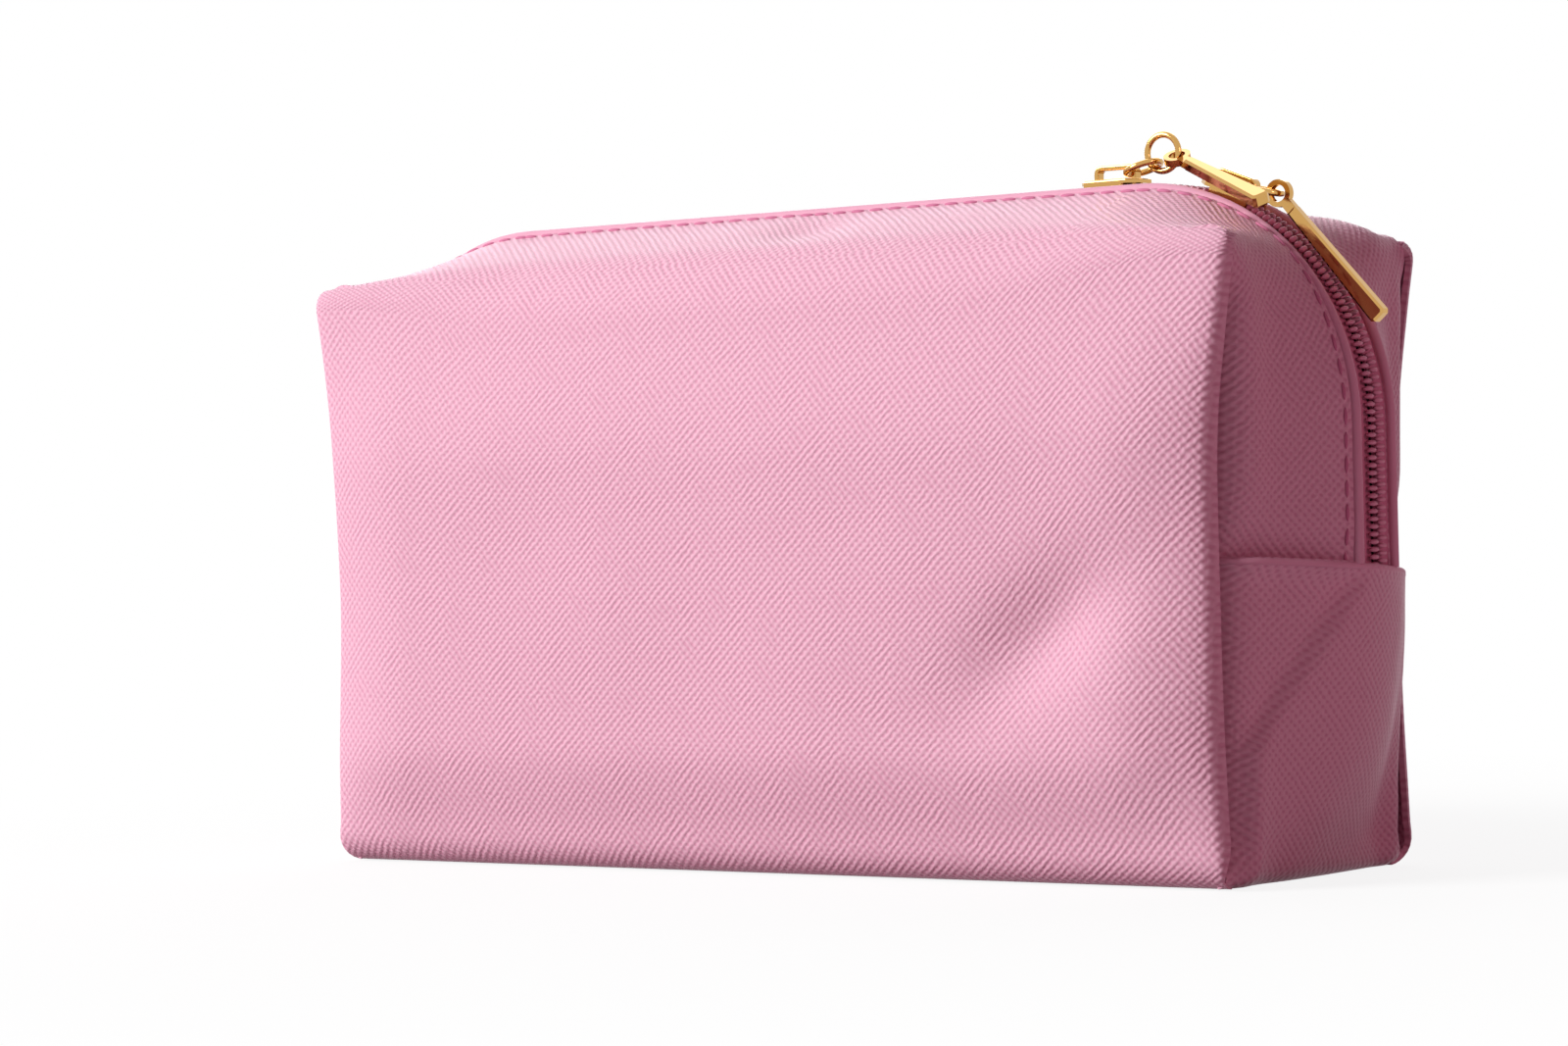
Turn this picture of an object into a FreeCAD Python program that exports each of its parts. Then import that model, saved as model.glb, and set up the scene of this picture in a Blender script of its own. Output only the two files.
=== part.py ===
import FreeCAD, Part

import math
import os

# Soft zipped makeup case: a boxed pouch of coated sheet with a zip that runs over the
# top and half way down both ends, two sliders, and metal pulls on rings.
# Frame: +X along the case, -Y is the front, +Z up, origin at the middle of the base.

V = FreeCAD.Vector
doc = FreeCAD.newDocument("makeup_case")
sheet = doc.addObject("Spreadsheet::Sheet", "sizes")

# Driving dimensions in millimetres and degrees
DIMENSIONS = {
    "case_width": 220.0,
    "case_depth": 70.0,
    "case_height": 120.0,
    "panel_thick": 1.2,
    "seam_gap": 0.3,
    "front_crown": 4.0,
    "edge_crown": 0.8,
    "seam_height": 60.0,
    "ridge_rise": 9.0,
    "end_bulge": 10.5,
    "zip_corner_radius": 45.0,
    "edge_lift": 0.7,
    "slot_half": 6.0,
    "lining_thick": 0.6,
    "lining_drop": 13.0,
    "tape_thick": 0.6,
    "tape_sink": 0.9,
    "tape_inner": 1.0,
    "coil_inner": 1.0,
    "coil_wide": 1.8,
    "coil_sink": 0.2,
    "coil_tall": 1.6,
    "slider_long": 12.6,
    "nose_half": 4.1,
    "rear_half": 3.8,
    "wing_thick": 0.9,
    "wing_over": 1.9,
    "wing_under": 1.8,
    "flange_low": 0.4,
    "flange_thick": 0.7,
    "flange_long": 8.5,
    "post_long": 3.0,
    "post_half": 0.7,
    "wing_round": 0.35,
    "bridge_long": 9.4,
    "bridge_half": 1.1,
    "bridge_strip": 1.0,
    "bridge_clear": 1.9,
    "bridge_round": 1.6,
    "ring_radius": 3.45,
    "ring_wire": 0.62,
    "ring_seat": 2.6,
    "ring_left_tilt": 18.0,
    "ring_right_tilt": 8.0,
    "ring_top_bearing": 52.0,
    "ring_top_offset": 1.86,
    "pull_long": 34.5,
    "pull_thick": 2.6,
    "pull_tab_thick": 1.4,
    "pull_tab_long": 4.4,
    "pull_head": 2.6,
    "pull_eye": 1.6,
    "pull_neck_half": 1.0,
    "pull_end_half": 1.75,
    "pull_end_round": 0.6,
    "pull_edge": 0.45,
    "slider_left_inset": 9.0,
    "slider_right_angle": 21.0,
    "pull_left_dip": 21.0,
    "pull_left_yaw": 26.0,
    "pull_left_roll": 32.0,
    "pull_right_dip": 28.0,
}
for row, (alias, value) in enumerate(DIMENSIONS.items(), start=1):
    sheet.set("A%d" % row, alias)
    sheet.set("B%d" % row, str(value))
    sheet.setAlias("B%d" % row, alias)
doc.recompute()


def size(alias):
    return float(sheet.get(alias))


# Places worked out from the driving dimensions
half_width = size("case_width") / 2
half_depth = size("case_depth") / 2
height = size("case_height")
thick = size("panel_thick")
gap = size("seam_gap")
inner_y = half_depth - thick - gap
path_top = height + size("ridge_rise")
path_end = half_width + size("end_bulge")
corner_x = path_end - size("zip_corner_radius")
corner_z = path_top - size("zip_corner_radius")
edge_radius = size("zip_corner_radius") + size("edge_lift")
seam_top = size("seam_height") + gap

subparts = []


def keep(obj, label):
    obj.Label = label
    subparts.append(obj)
    return obj


def feature(label, shape):
    if shape.Volume < 0:
        shape.reverse()
    obj = doc.addObject("Part::Feature", label)
    obj.Shape = shape
    return keep(obj, label)


def mirrored(source, label, normal):
    obj = doc.addObject("Part::Mirroring", label)
    obj.Source = source
    obj.Base = V(0, 0, 0)
    obj.Normal = normal
    return keep(obj, label)


def line(a, b):
    return Part.LineSegment(a, b).toShape()


def arc(a, middle, b):
    return Part.Arc(a, middle, b).toShape()


def closed(edges):
    return Part.Wire(Part.__sortEdges__(edges))


# Front and back panels: crowned sheets between the base and the top corners


def crowned_section(x):
    share = 1 - (x / half_width) ** 2
    crown = size("edge_crown") + (size("front_crown") - size("edge_crown")) * share
    outer = [V(x, -half_depth, 0), V(x, -half_depth - crown, height / 2), V(x, -half_depth, height)]
    inner = [p + V(0, thick, 0) for p in outer]
    return closed([arc(*outer), line(outer[2], inner[2]), arc(*inner), line(inner[0], outer[0])])


stations = [-half_width, -half_width / 2, 0, half_width / 2, half_width]
front_panel = feature("front_panel", Part.makeLoft([crowned_section(x) for x in stations], True, False))
mirrored(front_panel, "back_panel", V(0, 1, 0))

# Base panel between the front and back panels
base_panel = doc.addObject("Part::Box", "base_panel")
base_panel.setExpression("Length", "sizes.case_width - 2 * (sizes.panel_thick + sizes.seam_gap)")
base_panel.setExpression("Width", "sizes.case_depth - 2 * (sizes.panel_thick + sizes.seam_gap)")
base_panel.setExpression("Height", "sizes.panel_thick")
base_panel.setExpression("Placement.Base.x", "-Length / 2")
base_panel.setExpression("Placement.Base.y", "-Width / 2")
keep(base_panel, "base_panel")

# Lower end panels: bulged sheets from the base up to the cross seam


def end_section(z, bulge):
    outer = [V(half_width, -inner_y, z), V(half_width + bulge, 0, z), V(half_width, inner_y, z)]
    inner = [p - V(thick, 0, 0) for p in outer]
    return closed([arc(*outer), line(outer[2], inner[2]), arc(*inner), line(inner[0], outer[0])])


end_levels = [
    (0, size("edge_crown")),
    (size("seam_height") / 2, size("end_bulge") * 0.7),
    (size("seam_height"), size("end_bulge") + size("edge_lift")),
]
lower_end = feature("lower_end_right", Part.makeLoft([end_section(z, b) for z, b in end_levels], True, False))
mirrored(lower_end, "lower_end_left", V(1, 0, 0))

# Corner gussets: each runs from the top over the rounded zip corner to the cross seam


def rim(radius, x_reach, top, y, straight):
    start = V(corner_x, y, top)
    end = V(x_reach, y, corner_z)
    foot = V(x_reach, y, seam_top)
    if straight:
        return [line(start, V(x_reach, y, top)), line(V(x_reach, y, top), end), line(end, foot)], start, foot
    centre = V(corner_x, y, corner_z)

    def on(angle):
        turn = math.radians(angle)
        return centre + V(radius * math.cos(turn), 0, radius * math.sin(turn))

    middle = on(45)
    return [arc(start, on(67.5), middle), arc(middle, on(22.5), end), line(end, foot)], start, foot


def gusset_wire(y, straight):
    if straight:
        outer = rim(0, half_width, height, y, True)
        inner = rim(0, half_width - thick, height - thick, y, True)
    else:
        outer = rim(edge_radius, corner_x + edge_radius, corner_z + edge_radius, y, False)
        inner_radius = edge_radius - thick
        inner = rim(inner_radius, corner_x + inner_radius, corner_z + inner_radius, y, False)
    return closed(outer[0] + inner[0] + [line(outer[1], inner[1]), line(outer[2], inner[2])])


gusset = Part.makeLoft([gusset_wire(-size("slot_half"), False), gusset_wire(-inner_y, True)], True, True)
gusset_front = feature("gusset_front_right", gusset)
mirrored(gusset_front, "gusset_front_left", V(1, 0, 0))
gusset_back = mirrored(gusset_front, "gusset_back_right", V(0, 1, 0))
mirrored(gusset_back, "gusset_back_left", V(1, 0, 0))


# Bodies padded from one closed sketch


def plane_of(body, role):
    return next(f for f in body.Origin.OriginFeatures if f.Role == role)


def sketch_on(body, name, role, offset, outline):
    sketch = body.newObject("Sketcher::SketchObject", name)
    sketch.AttachmentSupport = [(plane_of(body, role), "")]
    sketch.MapMode = "FlatFace"
    sketch.AttachmentOffset = FreeCAD.Placement(V(0, 0, offset), FreeCAD.Rotation())
    for edge in outline:
        sketch.addGeometry(edge, False)
    return sketch


def polygon(points):
    ends = points[1:] + points[:1]
    return [Part.LineSegment(V(*a, 0), V(*b, 0)) for a, b in zip(points, ends)]


def pad(body, sketch, name, length, both=False, flip=False):
    padded = body.newObject("PartDesign::Pad", name)
    padded.Profile = sketch
    padded.setExpression("Length", length)
    padded.Midplane = both
    padded.Reversed = flip
    doc.recompute()
    return padded


def fillet(body, feature_in, name, chosen, radius):
    rounded = body.newObject("PartDesign::Fillet", name)
    names = ["Edge%d" % i for i, e in enumerate(feature_in.Shape.Edges, start=1) if chosen(e)]
    rounded.Base = (feature_in, names)
    rounded.setExpression("Radius", radius)
    doc.recompute()
    return rounded


# Top flaps and their linings: bands along the straight stretch of the zip
run_length = "2 * (sizes.case_width / 2 + sizes.end_bulge - sizes.zip_corner_radius - sizes.seam_gap)"


def flap_body(label, band):
    body = doc.addObject("PartDesign::Body", label)
    sketch = sketch_on(body, label + "_band", "YZ_Plane", 0, polygon(band))
    pad(body, sketch, label + "_pad", run_length, True)
    return keep(body, label)


edge_top = corner_z + edge_radius
flap_band = [
    (-inner_y, height),
    (-size("slot_half"), edge_top),
    (-size("slot_half"), edge_top - thick),
    (-inner_y, height - thick),
]
lining_under = thick + gap
lining_low = lining_under + size("lining_thick")
lining_band = [
    (-inner_y + gap, height - lining_under),
    (-size("slot_half"), edge_top - lining_under),
    (-size("slot_half"), edge_top - lining_low),
    (-inner_y + gap, height - lining_low),
]
flap_front = flap_body("top_flap_front", flap_band)
mirrored(flap_front, "top_flap_back", V(0, 1, 0))
flap_lining = flap_body("flap_lining_front", lining_band)
mirrored(flap_lining, "flap_lining_back", V(0, 1, 0))

# Lining pouch: a thin open box inside the panels
lining_outer = doc.addObject("Part::Box", "lining_outer")
lining_outer.setExpression("Length", "sizes.case_width - 2 * (sizes.panel_thick + 2 * sizes.seam_gap)")
lining_outer.setExpression("Width", "sizes.case_depth - 2 * (sizes.panel_thick + 2 * sizes.seam_gap)")
lining_tall = "sizes.case_height - sizes.panel_thick - sizes.seam_gap - sizes.lining_drop"
lining_outer.setExpression("Height", lining_tall)
lining_outer.setExpression("Placement.Base.x", "-Length / 2")
lining_outer.setExpression("Placement.Base.y", "-Width / 2")
lining_outer.setExpression("Placement.Base.z", "sizes.panel_thick + sizes.seam_gap")
lining_inner = doc.addObject("Part::Box", "lining_inner")
lining_inset = "2 * (sizes.panel_thick + 2 * sizes.seam_gap + sizes.lining_thick)"
lining_inner.setExpression("Length", "sizes.case_width - " + lining_inset)
lining_inner.setExpression("Width", "sizes.case_depth - " + lining_inset)
lining_inner.setExpression("Height", lining_tall)
lining_inner.setExpression("Placement.Base.x", "-Length / 2")
lining_inner.setExpression("Placement.Base.y", "-Width / 2")
lining_inner.setExpression("Placement.Base.z", "sizes.panel_thick + sizes.seam_gap + sizes.lining_thick")
lining = doc.addObject("Part::Cut", "lining_pouch")
lining.Base = lining_outer
lining.Tool = lining_inner
keep(lining, "lining_pouch")

# Zip tapes and coils: a straight run on each flap and a corner run at each end


def straight_run(label, low, tall, inner, wide):
    run = doc.addObject("Part::Box", label)
    run.setExpression("Length", run_length)
    run.setExpression("Width", wide)
    run.setExpression("Height", tall)
    run.setExpression("Placement.Base.x", "-Length / 2")
    run.setExpression("Placement.Base.y", "-(%s) - (%s)" % (inner, wide))
    run.setExpression("Placement.Base.z", "sizes.case_height + sizes.ridge_rise - (%s)" % low)
    keep(run, label + "_front_top")
    mirrored(run, label + "_back_top", V(0, 1, 0))


def corner_run(label, low, tall, inner, wide):
    body = doc.addObject("PartDesign::Body", label + "_corner")
    r_low = size("zip_corner_radius") - low
    r_top = r_low + tall
    centre = V(corner_x, corner_z, 0)
    outline = [
        Part.ArcOfCircle(Part.Circle(centre, V(0, 0, 1), r_top), 0, math.pi / 2),
        Part.ArcOfCircle(Part.Circle(centre, V(0, 0, 1), r_low), 0, math.pi / 2),
        Part.LineSegment(centre + V(0, r_low, 0), centre + V(0, r_top, 0)),
        Part.LineSegment(centre + V(r_top, 0, 0), V(corner_x + r_top, seam_top, 0)),
        Part.LineSegment(V(corner_x + r_top, seam_top, 0), V(corner_x + r_low, seam_top, 0)),
        Part.LineSegment(V(corner_x + r_low, seam_top, 0), centre + V(r_low, 0, 0)),
    ]
    sketch = sketch_on(body, label + "_corner_band", "XZ_Plane", inner, outline)
    pad(body, sketch, label + "_corner_pad", wide)
    keep(body, label + "_front_right")
    mirrored(body, label + "_front_left", V(1, 0, 0))
    back = mirrored(body, label + "_back_right", V(0, 1, 0))
    mirrored(back, label + "_back_left", V(1, 0, 0))


tape_wide = "sizes.slot_half - sizes.seam_gap - sizes.tape_inner"
straight_run("zip_tape", "sizes.tape_sink", "sizes.tape_thick", "sizes.tape_inner", tape_wide)
corner_run("zip_tape", size("tape_sink"), size("tape_thick"), size("tape_inner"), tape_wide)
straight_run("zip_coil", "sizes.coil_sink", "sizes.coil_tall", "sizes.coil_inner", "sizes.coil_wide")
corner_run("zip_coil", size("coil_sink"), size("coil_tall"), size("coil_inner"), "sizes.coil_wide")

# Sliders: two wings on a post, with side flanges. Local X runs along the zip, local Z out of it
wing_top = size("wing_over") + size("wing_thick")
half_long = size("slider_long") / 2


def wing_outline():
    nose, rear = size("nose_half"), size("rear_half")
    shoulder = half_long - nose / 2
    return polygon([
        (-half_long, -rear + 1), (-half_long + 1, -rear), (shoulder, -nose), (half_long, -nose / 2),
        (half_long, nose / 2), (shoulder, nose), (-half_long + 1, rear), (-half_long, rear - 1),
    ])


def box_outline(x_low, x_high, y_low, y_high):
    return polygon([(x_low, y_low), (x_high, y_low), (x_high, y_high), (x_low, y_high)])


def slider_body(label):
    body = doc.addObject("PartDesign::Body", label)
    under = -size("wing_under")
    pad(body, sketch_on(body, label + "_lower", "XY_Plane", under, wing_outline()),
        label + "_lower_wing", "sizes.wing_thick", flip=True)
    post_start = half_long - size("nose_half") - size("post_long") / 2
    post = box_outline(post_start, post_start + size("post_long"), -size("post_half"), size("post_half"))
    pad(body, sketch_on(body, label + "_post", "XY_Plane", under, post),
        label + "_post_pad", "sizes.wing_over + sizes.wing_under")
    upper = pad(body, sketch_on(body, label + "_upper", "XY_Plane", size("wing_over"), wing_outline()),
                label + "_upper_wing", "sizes.wing_thick")
    outer = size("rear_half")
    for side, name in ((1, "_back"), (-1, "_front")):
        edges = sorted([side * outer, side * (outer - size("flange_thick"))])
        strip = box_outline(-half_long + 1, -half_long + 1 + size("flange_long"), *edges)
        upper = pad(body, sketch_on(body, label + name, "XY_Plane", size("flange_low"), strip),
                    label + name + "_flange", "sizes.wing_over - sizes.flange_low")
    rims = lambda e: min(v.Z for v in e.Vertexes) > wing_top - 0.01
    fillet(body, upper, label + "_round", rims, "sizes.wing_round")
    return keep(body, label)


def arch(half, top, foot, radius):
    r = radius
    z = V(0, 0, 1)
    return [
        Part.LineSegment(V(-half, foot, 0), V(-half, top - r, 0)),
        Part.ArcOfCircle(Part.Circle(V(-half + r, top - r, 0), z, r), math.pi / 2, math.pi),
        Part.LineSegment(V(-half + r, top, 0), V(half - r, top, 0)),
        Part.ArcOfCircle(Part.Circle(V(half - r, top - r, 0), z, r), 0, math.pi / 2),
        Part.LineSegment(V(half, top - r, 0), V(half, foot, 0)),
    ]


bridge_top = wing_top + size("bridge_clear")


def slider_bridge(label):
    body = doc.addObject("PartDesign::Body", label)
    half = size("bridge_long") / 2
    strip = size("bridge_strip")
    outline = arch(half, bridge_top + strip, wing_top, size("bridge_round"))
    outline += arch(half - strip, bridge_top, wing_top, size("bridge_round") - strip)
    for s in (-1, 1):
        outline.append(Part.LineSegment(V(s * half, wing_top, 0), V(s * (half - strip), wing_top, 0)))
    band = pad(body, sketch_on(body, label + "_arch", "XZ_Plane", 0, outline),
               label + "_strip", "2 * sizes.bridge_half", True)
    side = size("bridge_half") - 0.01

    def rims(e):
        on_side = min(abs(v.Y) for v in e.Vertexes) > side
        one_side = len({round(v.Y, 3) for v in e.Vertexes}) == 1
        return on_side and one_side and max(v.Z for v in e.Vertexes) > wing_top + 0.01

    fillet(body, band, label + "_round", rims, "sizes.bridge_strip * 0.3")
    return keep(body, label)


# Pulls: a tapered bar with an eye at its narrow end. Local X runs from the eye to the tip


def pull_body(label):
    body = doc.addObject("PartDesign::Body", label)
    tip = size("pull_long") - size("pull_head")
    neck, end, r = size("pull_neck_half"), size("pull_end_half"), size("pull_end_round")
    head = size("pull_head")
    reach = math.sqrt(head * head - neck * neck)
    start = math.atan2(neck, reach)
    z = V(0, 0, 1)
    outline = [
        Part.ArcOfCircle(Part.Circle(V(0, 0, 0), z, head), start, 2 * math.pi - start),
        Part.LineSegment(V(reach, -neck, 0), V(tip - r, -end, 0)),
        Part.LineSegment(V(tip - r, -end, 0), V(tip, -end + r, 0)),
        Part.LineSegment(V(tip, -end + r, 0), V(tip, end - r, 0)),
        Part.LineSegment(V(tip, end - r, 0), V(tip - r, end, 0)),
        Part.LineSegment(V(tip - r, end, 0), V(reach, neck, 0)),
    ]
    low = -size("pull_thick") / 2
    bar = sketch_on(body, label + "_bar", "XY_Plane", low, outline)
    pad(body, bar, label + "_pad", "sizes.pull_thick")
    eye_circle = [Part.Circle(V(0, 0, 0), z, size("pull_eye"))]
    eye = sketch_on(body, label + "_eye", "XY_Plane", low, eye_circle)
    cut = body.newObject("PartDesign::Pocket", label + "_hole")
    cut.Profile = eye
    cut.Type = "ThroughAll"
    cut.Midplane = True
    tab = box_outline(-2 * head, size("pull_tab_long"), -2 * head, 2 * head)
    for side, level in (("over", -low), ("under", low)):
        thin = sketch_on(body, label + "_" + side, "XY_Plane", level, tab)
        cut = body.newObject("PartDesign::Pocket", label + "_" + side + "_cut")
        cut.Profile = thin
        cut.setExpression("Length", "(sizes.pull_thick - sizes.pull_tab_thick) / 2")
        cut.Reversed = side == "under"
    doc.recompute()
    top = size("pull_thick") / 2 - 0.01
    rims = lambda e: min(abs(v.Z) for v in e.Vertexes) > top and len({round(v.Z, 3) for v in e.Vertexes}) == 1
    edge = body.newObject("PartDesign::Chamfer", label + "_edge")
    edge.Base = (cut, ["Edge%d" % i for i, e in enumerate(cut.Shape.Edges, start=1) if rims(e)])
    edge.setExpression("Size", "sizes.pull_edge")
    doc.recompute()
    return keep(body, label)


def ring(label):
    torus = doc.addObject("Part::Torus", label)
    torus.setExpression("Radius1", "sizes.ring_radius")
    torus.setExpression("Radius2", "sizes.ring_wire")
    return keep(torus, label)


def turned(axis, angle):
    return FreeCAD.Rotation(axis, angle)


def place(obj, frame, local):
    obj.Placement = frame.multiply(local)


X, Y, Z = V(1, 0, 0), V(0, 1, 0), V(0, 0, 1)
seat = V(size("ring_seat"), 0, wing_top + size("bridge_clear") / 2)
ring_reach = size("ring_radius")

# Left slider on the straight run: bridge, lying ring, standing ring, pull
left = FreeCAD.Placement(V(corner_x - size("slider_left_inset"), 0, path_top), FreeCAD.Rotation())
place(slider_body("slider_left"), left, FreeCAD.Placement())
place(slider_bridge("bridge_left"), left, FreeCAD.Placement())
tilt = math.radians(size("ring_left_tilt"))
along = V(math.cos(tilt), 0, math.sin(tilt))
lying = FreeCAD.Placement(seat + along * ring_reach, turned(Y, -size("ring_left_tilt")))
place(ring("ring_left"), left, lying)
far_wire = seat + along * (2 * ring_reach)
bearing = math.radians(size("ring_top_bearing"))
top_centre = far_wire + V(math.cos(bearing), 0, math.sin(bearing)) * size("ring_top_offset")
place(ring("ring_left_top"), left, FreeCAD.Placement(top_centre, turned(X, 90)))
dip = math.radians(size("pull_left_dip"))
eye = top_centre + V(math.cos(dip), 0, -math.sin(dip)) * ring_reach
lie = turned(Y, size("pull_left_dip")).multiply(turned(Z, -size("pull_left_yaw")))
lie = lie.multiply(turned(X, size("pull_left_roll")))
place(pull_body("pull_left"), left, FreeCAD.Placement(eye, lie))

# Right slider on the rounded corner: bridge, ring, pull standing on its edge
swing = math.radians(size("slider_right_angle"))
on_corner = V(math.sin(swing), 0, math.cos(swing)) * size("zip_corner_radius")
facing = turned(Y, size("slider_right_angle"))
right = FreeCAD.Placement(V(corner_x, 0, corner_z) + on_corner, facing)
backwards = FreeCAD.Placement(V(0, 0, 0), turned(Z, 180))
place(slider_body("slider_right"), right, backwards)
place(slider_bridge("bridge_right"), right, FreeCAD.Placement())
tilt = math.radians(size("ring_right_tilt"))
along = V(math.cos(tilt), 0, math.sin(tilt))
lying = FreeCAD.Placement(seat + along * ring_reach, turned(Y, -size("ring_right_tilt")))
place(ring("ring_right"), right, lying)
hook = seat + along * (2 * ring_reach)
hang = turned(Y, size("pull_right_dip")).multiply(turned(X, 90))
place(pull_body("pull_right"), right, FreeCAD.Placement(hook, hang))

doc.recompute()

# Joint axes, for the record
print("flap hinge y %.3f z %.3f" % (-inner_y, height))
print("left ring pivot", left.multVec(seat))
print("left top ring pivot", left.multVec(far_wire))
print("left pull pivot", left.multVec(top_centre))
print("right slider pivot", V(corner_x, 0, corner_z))
print("right ring pivot", right.multVec(seat))
print("right pull pivot", right.multVec(hook))

for obj in doc.Objects:
    if "Invalid" in obj.State or "Error" in obj.State:
        raise RuntimeError("%s failed: %s" % (obj.Label, obj.State))
for obj in subparts:
    if obj.Shape.isNull() or not obj.Shape.isValid() or obj.Shape.Volume <= 0:
        raise RuntimeError("%s has a bad shape" % obj.Label)

os.makedirs("parts", exist_ok=True)
for obj in subparts:
    obj.Shape.exportStep("parts/%s.step" % obj.Label)
print(len(subparts), "sub-parts written")
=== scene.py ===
import math
import bmesh
import bpy
from mathutils import Matrix, Vector, noise


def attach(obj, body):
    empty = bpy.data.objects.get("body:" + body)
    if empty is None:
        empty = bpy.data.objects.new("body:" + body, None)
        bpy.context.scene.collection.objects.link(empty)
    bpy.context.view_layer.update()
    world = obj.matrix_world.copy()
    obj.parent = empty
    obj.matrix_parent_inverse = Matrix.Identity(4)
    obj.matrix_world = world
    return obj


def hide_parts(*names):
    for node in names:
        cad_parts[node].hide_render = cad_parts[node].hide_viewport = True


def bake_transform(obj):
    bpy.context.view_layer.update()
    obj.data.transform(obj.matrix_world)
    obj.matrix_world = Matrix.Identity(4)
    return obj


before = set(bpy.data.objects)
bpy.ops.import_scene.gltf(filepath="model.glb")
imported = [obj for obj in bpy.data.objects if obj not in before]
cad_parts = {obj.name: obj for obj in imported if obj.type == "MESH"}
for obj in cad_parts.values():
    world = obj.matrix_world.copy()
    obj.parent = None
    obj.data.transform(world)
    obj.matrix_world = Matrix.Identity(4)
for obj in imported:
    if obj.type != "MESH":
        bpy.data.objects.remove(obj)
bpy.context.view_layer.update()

# Sizes are millimetres, as in the part: X along the front, the front face towards -Y, the floor at 0
mmPerMetre = 1000
case = {
    "halfWidth": 110.0, "halfDepth": 35.0, "height": 120.0, "thick": 1.2,
    "seam": 60.0,  # cross seam of each end
    "seamY": 31.6,  # upright seams of each end
    "innerY": 33.5,  # the slope of the top starts here, at the full height
}
zipLine = {"top": 129.0, "radius": 45.0, "cornerX": 75.5, "cornerZ": 84.0, "edgeLift": 0.7, "slot": 6.0}
caseSides = (("Front", -1), ("Back", 1))
caseEnds = (("Left", -1), ("Right", 1))


def lerp(a, b, t):
    return a + (b - a) * t


def steps(a, b, count):
    return [lerp(a, b, i / count) for i in range(count + 1)]


def ease(value, start, over):
    # Rises softly from 0 at start to 1 at start + over
    t = min(1.0, max(0.0, (value - start) / over))
    return t * t * (3 - 2 * t)


def bell(off, wide):
    return math.exp(-((off / wide) ** 2))


def hump(offA, offB, wideA, wideB):
    return math.exp(-((offA / wideA) ** 2) - ((offB / wideB) ** 2))


def through(points, z):
    # Smooth line through (z, value) points
    if z <= points[0][0]:
        return points[0][1]
    for i in range(len(points) - 1):
        (z0, a), (z1, b) = points[i], points[i + 1]
        if z <= z1:
            before = points[max(0, i - 1)]
            after = points[min(len(points) - 1, i + 2)]
            t = (z - z0) / (z1 - z0)
            riseA = (b - before[1]) / (z1 - before[0]) * (z1 - z0)
            riseB = (after[1] - a) / (after[0] - z0) * (z1 - z0)
            t2, t3 = t * t, t * t * t
            ends = (2 * t3 - 3 * t2 + 1) * a + (3 * t2 - 2 * t3) * b
            return ends + (t3 - 2 * t2 + t) * riseA + (t3 - t2) * riseB
    return points[-1][1]


def wander(x, y, z, scale, seed):
    return noise.noise(Vector((x / scale + seed, y / scale, z / scale)))


# Materials: the patterns follow each piece's flat map, which is in metres
wavePeriod = 0.314  # of a wave texture at scale 1
grain = {
    "angles": (-44, 47), "pitches": (1.3, 1.25), "warp": 1.5, "depth": 0.0003, "shine": 0.06,
    "cloudScale": 150.0, "crossShare": 0.92,  # patches where the second set of ribs shows
    "deepTo": 0.12, "fullFrom": 0.5,  # heights of the ribs for the deep and the full colour
}
weave = {"angle": 45, "warp": 0.4, "depth": 0.0001, "shine": 0.08}
plainShine = {"matt": 0.12, "metal": 0.5}


def newMaterial(name):
    mat = bpy.data.materials.new(name)
    mat.use_nodes = True
    tree = mat.node_tree
    return mat, tree.nodes, tree.links, tree.nodes["Principled BSDF"]


def waveNode(nodes, links, source, angle, pitch, warp):
    turn = nodes.new("ShaderNodeMapping")
    turn.inputs["Rotation"].default_value = (0, 0, math.radians(angle))
    turn.inputs["Scale"].default_value = (mmPerMetre, mmPerMetre, mmPerMetre)
    links.new(source, turn.inputs["Vector"])
    wave = nodes.new("ShaderNodeTexWave")
    wave.inputs["Scale"].default_value = wavePeriod / pitch
    wave.inputs["Distortion"].default_value = warp
    wave.inputs["Detail"].default_value = 1.0
    wave.inputs["Detail Scale"].default_value = 2.0
    links.new(turn.outputs["Vector"], wave.inputs["Vector"])
    return wave.outputs["Fac"]


def mathNode(nodes, links, operation, a, b):
    node = nodes.new("ShaderNodeMath")
    node.operation = operation
    for i, value in enumerate((a, b)):
        if isinstance(value, float):
            node.inputs[i].default_value = value
        else:
            links.new(value, node.inputs[i])
    return node.outputs[0]


def addBump(nodes, links, shader, height, strength, depth):
    bump = nodes.new("ShaderNodeBump")
    bump.inputs["Strength"].default_value = strength
    bump.inputs["Distance"].default_value = depth
    links.new(height, bump.inputs["Height"])
    links.new(bump.outputs["Normal"], shader.inputs["Normal"])


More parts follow.
